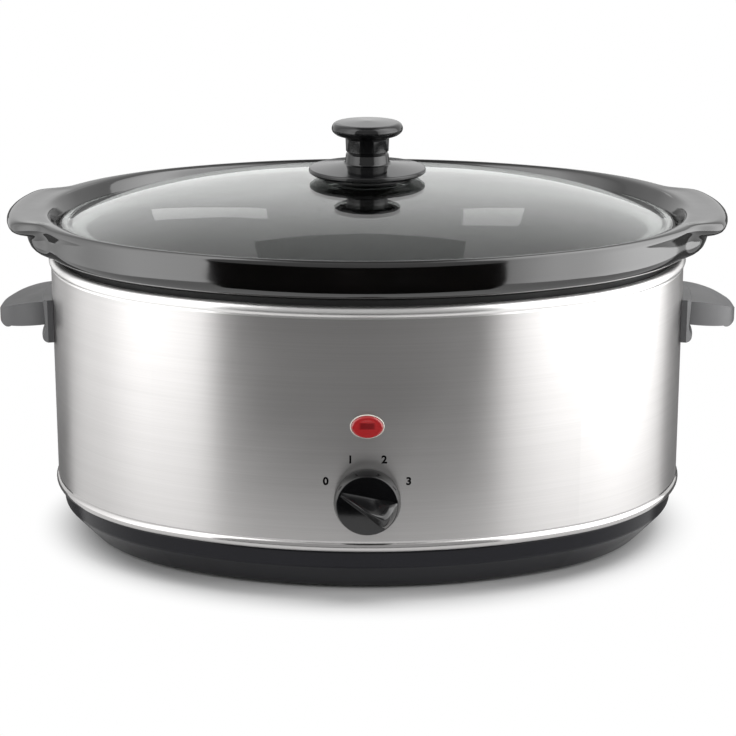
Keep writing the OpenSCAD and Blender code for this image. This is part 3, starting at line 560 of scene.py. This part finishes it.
def fibre_wrap():
    material, tree, shader = finish("fibre wrap", {})
    lines = use(tree, "Brushed lines", Streak=0.01, Pitch=0.0008)
    shade(tree, shader, lines["Tone"], (0.58, 0.53, 0.40), (0.80, 0.76, 0.66))
    gloss(tree, shader, 0.01, 0.85, 0.95)
    bump(tree, shader, lines["Height"], 0.0004, 0.8)
    return material


keep("steel_plain", sheet_metal(
    "plated steel", (0.42, 0.42, 0.41), (0.60, 0.59, 0.57), low=0.25, high=0.42, pitch=0.0012))
keep("shield_aluminium", sheet_metal(
    "shield foil", (0.60, 0.60, 0.61), (0.78, 0.78, 0.79), low=0.2, high=0.38, pitch=0.0015))
keep("heater_metal", sheet_metal(
    "heater band", (0.20, 0.17, 0.13), (0.34, 0.29, 0.23), low=0.4, high=0.6, pitch=0.002))
keep("fibre_wrap", fibre_wrap())

# %% [markdown]
# ## Dressing the CAD solids
# Each solid arrives with a plain material named after its slot in the record. The finishes above are kept
# under the same slot names, so every solid trades its plain material for the finish of that name.

# %% Dress the solids
for node in nodes.values():
    for socket in node.material_slots:
        socket.material = finishes[socket.material.name]
print("dressed", len(nodes), "solids in", len(finishes), "finishes")

# %% [markdown]
# ## New pieces
# A new piece is modelled as a bmesh, turned into a mesh, given its finish and tied to the body that it
# moves with. These steps are the same for every piece, so one helper does them. Normals are recalculated
# first, because a spun or mirrored shape can come out inside out.

# %% Piece helper
weld_distance = 0.000001


def make_piece(name, shape, slot, body, *stands_for):
    bmesh.ops.remove_doubles(shape, verts=shape.verts, dist=weld_distance)
    bmesh.ops.recalc_face_normals(shape, faces=shape.faces)
    mesh = bpy.data.meshes.new(name)
    shape.to_mesh(mesh)
    shape.free()
    mesh.materials.append(finishes[slot])
    mesh.shade_smooth()
    piece = bpy.data.objects.new(name, mesh)
    bpy.context.scene.collection.objects.link(piece)
    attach(piece, body)
    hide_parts(*stands_for)
    print(name, "has", len(mesh.polygons), "faces")
    return piece


def round_edges(piece, width, segments):
    bevel = piece.modifiers.new("rounded edges", "BEVEL")
    bevel.width = width
    bevel.segments = segments
    bevel.limit_method = "ANGLE"
    bevel.angle_limit = math.radians(25)
    bevel.harden_normals = False


print("piece helpers ready")

# %% [markdown]
# ## Domed glass lid
# The real lid is pressed glass: a flat rim that lies on the crock, and a dome that rises to the knob. An
# oval dome is hard to draw but easy to bend. A section is spun into a round lid first, and then each point
# is drawn out to its place: along the rim the points follow the body's oval, which is made of four arcs, and
# further in they run straight to the hole of the knob's screw. The dome is flat under the knob, then falls
# partly like a cone and partly in a steepening curve.

# %% Domed glass lid
lid_low, lid_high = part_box("glass_lid")
glass_thickness = 3.8 * MM
flange_width = 4.8 * MM
screw_hole = 4.5 * MM
dome_rings = 28
knob_seat = 25 * MM
cone_share = 0.3
dome_power = 3.2
rim_top = lid_low.z + glass_thickness
dome_rise = lid_high.z - rim_top
end_centre, end_radius = 56 * MM, 123 * MM
side_centre, side_radius = 105 * MM, 242 * MM
arc_change = 8 / 17
lid_inset = end_centre + end_radius - lid_high.x
spin_steps = 192


def spin_profile(points, closed=False, steps=spin_steps):
    shape = bmesh.new()
    verts = [shape.verts.new((radius, 0, height)) for radius, height in points]
    pairs = list(zip(verts, verts[1:])) + ([(verts[-1], verts[0])] if closed else [])
    edges = [shape.edges.new(pair) for pair in pairs]
    bmesh.ops.spin(shape, geom=verts + edges, axis=(0, 0, 1), cent=(0, 0, 0), steps=steps,
                   angle=math.radians(360), use_merge=True)
    return shape


def oval_point(angle, inset):
    """The point of the body's oval whose normal has this angle, moved inward by the inset."""
    way = Vector((math.cos(angle), math.sin(angle)))
    if abs(way.x) > arc_change:
        return Vector((math.copysign(end_centre, way.x), 0)) + way * (end_radius - inset)
    return Vector((0, -math.copysign(side_centre, way.y))) + way * (side_radius - inset)


def lid_point(angle, across, drop):
    """A point of the lid: across runs from 0 at the hole to 1 at the dome's foot and 2 at the edge."""
    foot = oval_point(angle, lid_inset + flange_width)
    if across > 1:
        place = oval_point(angle, lid_inset + flange_width * (2 - across))
        return Vector((*place, rim_top - drop))
    reach = screw_hole + (foot.length - screw_hole) * across
    share = max(reach - knob_seat, 0) / (foot.length - knob_seat)
    height = rim_top + dome_rise * (1 - cone_share * share - (1 - cone_share) * share ** dome_power)
    return Vector((*(foot.normalized() * reach), height - drop))


def lid_dome():
    edge = 0.48 * glass_thickness
    turn_in = edge / flange_width
    top = [(ring / dome_rings, 0) for ring in range(dome_rings)] + [(0.985, 0), (1, 0), (1.12, 0)]
    turns = [math.radians(angle) for angle in range(0, 91, 15)]
    nose = [(2 - turn_in * (1 - math.sin(turn)), edge * (1 - math.cos(turn))) for turn in turns]
    half = top + nose
    section = half + [(across, glass_thickness - drop) for across, drop in reversed(half)]
    shape = spin_profile([(1 + across, -drop) for across, drop in section], closed=True)
    for vert in shape.verts:
        vert.co = lid_point(math.atan2(vert.co.y, vert.co.x), vert.co.xy.length - 1, -vert.co.z)
    make_piece("lid_dome", shape, "glass_clear", "lid", "glass_lid")


lid_dome()

# %% [markdown]
# ## Stoneware crock
# A crock is cast in a plaster mould, and its rim swells at both ends into a wing for the fingers. There is
# no seam between rim and wing, so the wing isn't a piece stuck on: two sections with the same number of
# points are written down in millimetres, outward from the steel wall and up from the table, one through the
# plain rim and one through the middle of a wing. Round the oval a weight slides from one to the other. It
# falls steeply at a wing's flank and then fades slowly along the rim.

# %% Stoneware crock
wing_flank = math.radians(21)
wing_fade = math.radians(42)
fade_share = 0.26
flank_power, fade_power = 16, 6
crock_steps = 540
pot_low, pot_floor, rim_under, ledge = 37.8, 45.8, 164.5, 175.4
rim_and_wing = [
    ((-3.6, rim_under), (-2.0, rim_under)),
    ((-0.9, 165.0), (3.5, 165.1)),
    ((1.7, 166.6), (8.0, 166.9)),
    ((3.3, 169.2), (11.4, 170.0)),
    ((3.82, 172.2), (12.8, 174.0)),
    ((3.82, 176.0), (13.6, 176.5)),
    ((3.82, 179.5), (16.0, 177.6)),
    ((3.82, 182.0), (19.0, 178.0)),
    ((3.82, 183.6), (22.2, 179.4)),
    ((3.6, 184.8), (23.5, 181.9)),
    ((2.9, 185.7), (22.9, 184.3)),
    ((2.0, 186.15), (21.2, 185.6)),
    ((1.2, 186.2), (18.5, 186.1)),
    ((0.5, 186.0), (10.0, 185.6)),
    ((-0.3, 185.3), (3.5, 185.7)),
    ((-1.2, 183.9), (0.6, 184.9)),
    ((-2.4, 181.0), (-1.4, 182.0)),
    ((-3.6, 178.0), (-3.2, 178.4)),
    ((-4.4, 176.2), (-4.4, 176.2))]


def bend(start, corner, end, steps=5):
    """A rounded corner as a few points, from start to end."""
    a, b, c = Vector(start), Vector(corner), Vector(end)
    return [a.lerp(b, s / steps).lerp(b.lerp(c, s / steps), s / steps) for s in range(steps + 1)]


outer_corner = bend((-42.4, pot_low), (-27.6, pot_low), (-26.1, 52.5))
under_rim = bend((-15.2, 162), (-14.9, rim_under), (-12.4, rim_under), 3)
mouth = bend((-18, ledge), (-20.9, ledge), (-21.2, 172.5), 3)
inner_corner = bend((-31.7, 67.4), (-33.8, pot_floor), (-55.5, pot_floor), 6)
outer_wall = [(-20.4, 110), (-16.4, 150)]
inner_wall = [(-23.4, 150), (-27.4, 110)]
pot_outside = [(-100, pot_low), (-70, pot_low), *outer_corner, *outer_wall, *under_rim, (-8, rim_under)]
pot_inside = [(-5.4, ledge), (-10, ledge), *mouth, *inner_wall, *inner_corner]
pot_inside += [(-75, pot_floor), (-100, pot_floor)]


def finer(points):
    """The same section with a point between each two, placed on a smooth curve."""
    result = []
    for spot in range(len(points) - 1):
        a, b, c, d = [Vector(points[min(max(spot + i, 0), len(points) - 1)]) for i in (-1, 0, 1, 2)]
        result += [b, (9 * (b + c) - a - d) / 16]
    return result + [Vector(points[-1])]


plain_section = pot_outside + [plain for plain, wing in rim_and_wing] + pot_inside
wing_section = pot_outside + [wing for plain, wing in rim_and_wing] + pot_inside
crock_section = list(zip(finer(plain_section), finer(wing_section)))


def wing_weight(angle):
    turn = math.atan2(abs(math.sin(angle)), abs(math.cos(angle)))
    steep = (1 - fade_share) / (1 + (turn / wing_flank) ** flank_power)
    slow = fade_share / (1 + (turn / wing_fade) ** fade_power)
    return steep + slow


def crock_point(angle, row):
    plain, wing = crock_section[row]
    out, up = plain.lerp(wing, wing_weight(angle)) * MM
    return Vector((*oval_point(angle, -out), up))


def stoneware_crock():
    shape = spin_profile([(1, row) for row in range(len(crock_section))], steps=crock_steps)
    bmesh.ops.remove_doubles(shape, verts=shape.verts, dist=weld_distance)
    for vert in shape.verts:
        vert.co = crock_point(math.atan2(vert.co.y, vert.co.x), round(vert.co.z))
    bmesh.ops.holes_fill(shape, edges=[edge for edge in shape.edges if edge.is_boundary])
    make_piece("stoneware_crock", shape, "stoneware_black", "pot", "crock")


stoneware_crock()

# %% [markdown]
# ## Dial disc
# The dial's disc is a turned form: a hollow skirt that clears the panel nut, a sloped shoulder and a flat
# face. A half profile is drawn as a few points and spun round the axis. It is drawn lying down, with its
# axis along Z, and one matrix then stands it on the wall. A Bevel modifier rounds the rims that catch the
# light.

# %% Dial disc
dial_low, dial_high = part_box("dial_knob")
dial_radius = (dial_high.x - dial_low.x) / 2
dial_back = Vector((0, dial_high.y, (dial_low.z + dial_high.z) / 2))
dial_height = dial_high.y - dial_low.y
face_height = 8.2 * MM
face_radius = 16.2 * MM
grip_height = dial_height - face_height
dial_stand = Matrix.Translation(dial_back) @ Matrix.Rotation(math.radians(90), 4, "X")


def dial_disc():
    skirt_wall = 2.2 * MM
    hollow = 5.4 * MM
    shoulder = 3.4 * MM
    shape = spin_profile([
        (0, hollow),
        (dial_radius - skirt_wall, hollow),
        (dial_radius - skirt_wall, 0),
        (dial_radius, 0),
        (dial_radius, shoulder),
        (face_radius, face_height),
        (0, face_height)])
    bmesh.ops.transform(shape, matrix=dial_stand, verts=shape.verts)
    return make_piece("dial_disc", shape, "plastic_gloss_black", "dial", "dial_knob")


round_edges(dial_disc(), 0.45 * MM, 4)

# %% [markdown]
# ## Dial grip
# The grip is a bar that is pinched between two fingers: pointed at the scale, full at the other end, and
# scooped on both flanks. A grid is pulled up into that form. Along the bar the height and the width follow
# smooth curves. Across it the flanks fall from a soft ridge in a hollow curve, and at the tail they fill out
# to a bulb. The rim of the grid is extruded down into the face and closed, so the grip is a solid of its own.

# %% Dial grip
pointer_angle = math.radians(155)
grip_tip = 15.2 * MM
grip_tail = 15.9 * MM
tip_half = 1.0 * MM
tail_half = 8.0 * MM
ridge_soft = 0.16
grip_root = 1.2 * MM
grip_rows = 72


def ease(value, start, end):
    share = min(max((value - start) / (end - start), 0), 1)
    return share * share * (3 - 2 * share)


def grip_point(along, across):
    """A point of the grip: along runs from 0 at the tail to 1 at the tip, across from -1 to 1."""
    half = tip_half + (tail_half - tip_half) * (1 - along) ** 0.85
    y = across * half
    tail_x = -math.sqrt(grip_tail ** 2 - y ** 2)
    x = tail_x + (grip_tip - tail_x) * along
    tail_rise = math.sqrt(1 - (1 - ease(along, 0, 0.3)) ** 2)
    crest = grip_height * tail_rise * (1 - 0.8 * ease(along, 0.40, 1.0))
    soft = math.hypot(across, ridge_soft) - ridge_soft
    hollow = (1 - soft / (math.hypot(1, ridge_soft) - ridge_soft)) ** 1.5
    full = math.sqrt(max(1 - across ** 2, 0))
    bulb = ease(1 - along, 0.55, 0.95)
    return Vector((x, y, crest * (hollow + (full - hollow) * bulb)))


def dial_grip():
    shape = bmesh.new()
    bmesh.ops.create_grid(shape, x_segments=grip_rows, y_segments=grip_rows, size=0.5)
    for vert in shape.verts:
        along = (1 - math.cos(math.pi * (vert.co.x + 0.5))) / 2
        across = math.sin(math.pi * vert.co.y)
        vert.co = grip_point(along, across) + Vector((0, 0, face_height))
    rim = [edge for edge in shape.edges if edge.is_boundary]
    lowered = bmesh.ops.extrude_edge_only(shape, edges=rim)["geom"]
    foot = [part for part in lowered if isinstance(part, bmesh.types.BMVert)]
    bmesh.ops.translate(shape, vec=(0, 0, -grip_root), verts=foot)
    bmesh.ops.edgeloop_fill(shape, edges=[edge for edge in shape.edges if edge.is_boundary])
    turn = Matrix.Rotation(pointer_angle, 4, "Z")
    bmesh.ops.transform(shape, matrix=dial_stand @ turn, verts=shape.verts)
    make_piece("dial_grip", shape, "plastic_gloss_black", "dial", "dial_knob")


dial_grip()

# %% [markdown]
# ## Dial spindle
# The switch's spindle ends inside the hub behind the face. It is a plain turned rod, and no part of it
# shows.

# %% Dial spindle
rod_low, rod_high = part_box("dial_shaft")
hub_cover = 1.5 * MM


def dial_spindle():
    radius = (rod_high.x - rod_low.x) / 2
    back = dial_back.y - rod_high.y
    front = face_height - hub_cover
    shape = spin_profile([(0, back), (radius, back), (radius, front), (0, front)])
    bmesh.ops.transform(shape, matrix=dial_stand, verts=shape.verts)
    make_piece("dial_spindle", shape, "steel_plain", "dial", "dial_shaft")


dial_spindle()

# %% [markdown]
# ## Lamp lens
# The lens is a moulded oval cap in a flange: the cap has a short upright wall, a bevel and a slightly domed
# face, and the flange's pale colour is a painted highlight, the bright line round the lens. Both are spun as
# round forms and then stretched to the oval, which is quicker than drawing an oval section by section.

# %% Lamp lens
lens_low, lens_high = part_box("lamp_lens")
lens_half = ((lens_high.x - lens_low.x) / 2, (lens_high.z - lens_low.z) / 2)
lens_proud = 2.4 * MM
wall_front = lens_low.y + lens_proud
lens_centre = Vector((0, wall_front, (lens_low.z + lens_high.z) / 2))
lens_stand = Matrix.Translation(lens_centre) @ Matrix.Rotation(math.radians(90), 4, "X")


def oval_cap(name, slot, points):
    """Points are shares of the lens's half width and heights over the steel."""
    shape = spin_profile([(radius, height * MM) for radius, height in points])
    bmesh.ops.scale(shape, vec=(lens_half[0], lens_half[1], 1), verts=shape.verts)
    bmesh.ops.transform(shape, matrix=lens_stand, verts=shape.verts)
    make_piece(name, shape, slot, "housing", "lamp_lens")


oval_cap("lens_cap", "lens_red", [
    (0, -0.4), (0.90, -0.4), (0.925, 0.4), (0.925, 1.1), (0.90, 1.6), (0.83, 2.0), (0.79, 2.05),
    (0.76, 2.0), (0.6, 2.2), (0.3, 2.36), (0, 2.4)])
# The flange's pale colour is a painted highlight: the bright line of light round the lens.
oval_cap("lens_flange_painted_highlight", "plastic_pale", [
    (0, -0.3), (0.97, -0.3), (1.0, 0.0), (1.0, 0.35), (0.975, 0.6), (0.94, 0.62), (0.93, 0.3), (0, 0.3)])

# %% [markdown]
# ## Printed scale
# Four plain numbers are printed on the steel round the dial, one for each stop. Ink has almost no thickness,
# but a real film catches light at its edge, so each number is a thin solid. Text is turned into a mesh, and
# each of its points is dropped onto the wall by a ray, so the print follows the curve of the steel.

# %% Printed scale
digit_height = 4.0 * MM
digit_radius = 24.0 * MM
scale_sweep = math.radians(130)
ink_thickness = 0.05 * MM
ink_sunk = ink_thickness / 5
cap_share = 0.69
bold_share = 0.06
ray_start = Vector((0, -0.1, 0))
to_the_back = Vector((0, 1, 0))


def flat_text(text, height):
    curve = bpy.data.curves.new("digit text", "FONT")
    curve.body = text
    curve.size = height / cap_share
    curve.align_x = "CENTER"
    curve.align_y = "CENTER"
    curve.offset = height * bold_share
    holder = bpy.data.objects.new("digit text", curve)
    bpy.context.scene.collection.objects.link(holder)
    drawn = holder.evaluated_get(bpy.context.evaluated_depsgraph_get())
    mesh = bpy.data.meshes.new_from_object(drawn)
    bpy.data.objects.remove(holder)
    return mesh


def print_digit(text, angle):
    mesh = flat_text(text, digit_height)
    shape = bmesh.new()
    shape.from_mesh(mesh)
    centre = dial_back + Vector((math.cos(angle), 0, math.sin(angle))) * digit_radius
    stand = Matrix.Translation(centre) @ Matrix.Rotation(math.radians(90), 4, "X")
    bmesh.ops.remove_doubles(shape, verts=shape.verts, dist=weld_distance)
    bmesh.ops.transform(shape, matrix=stand, verts=shape.verts)
    for vert in shape.verts:
        _, spot, _, _ = nodes["sleeve"].ray_cast(vert.co + ray_start, to_the_back)
        vert.co.y = spot.y + ink_sunk
    raised = bmesh.ops.extrude_face_region(shape, geom=list(shape.faces))["geom"]
    front = [part for part in raised if isinstance(part, bmesh.types.BMVert)]
    bmesh.ops.translate(shape, vec=(0, -ink_thickness, 0), verts=front)
    make_piece("scale_" + text, shape, "plastic_gloss_black", "housing").data.shade_flat()


for stop in range(4):
    print_digit(str(stop), pointer_angle - scale_sweep * stop / 3)
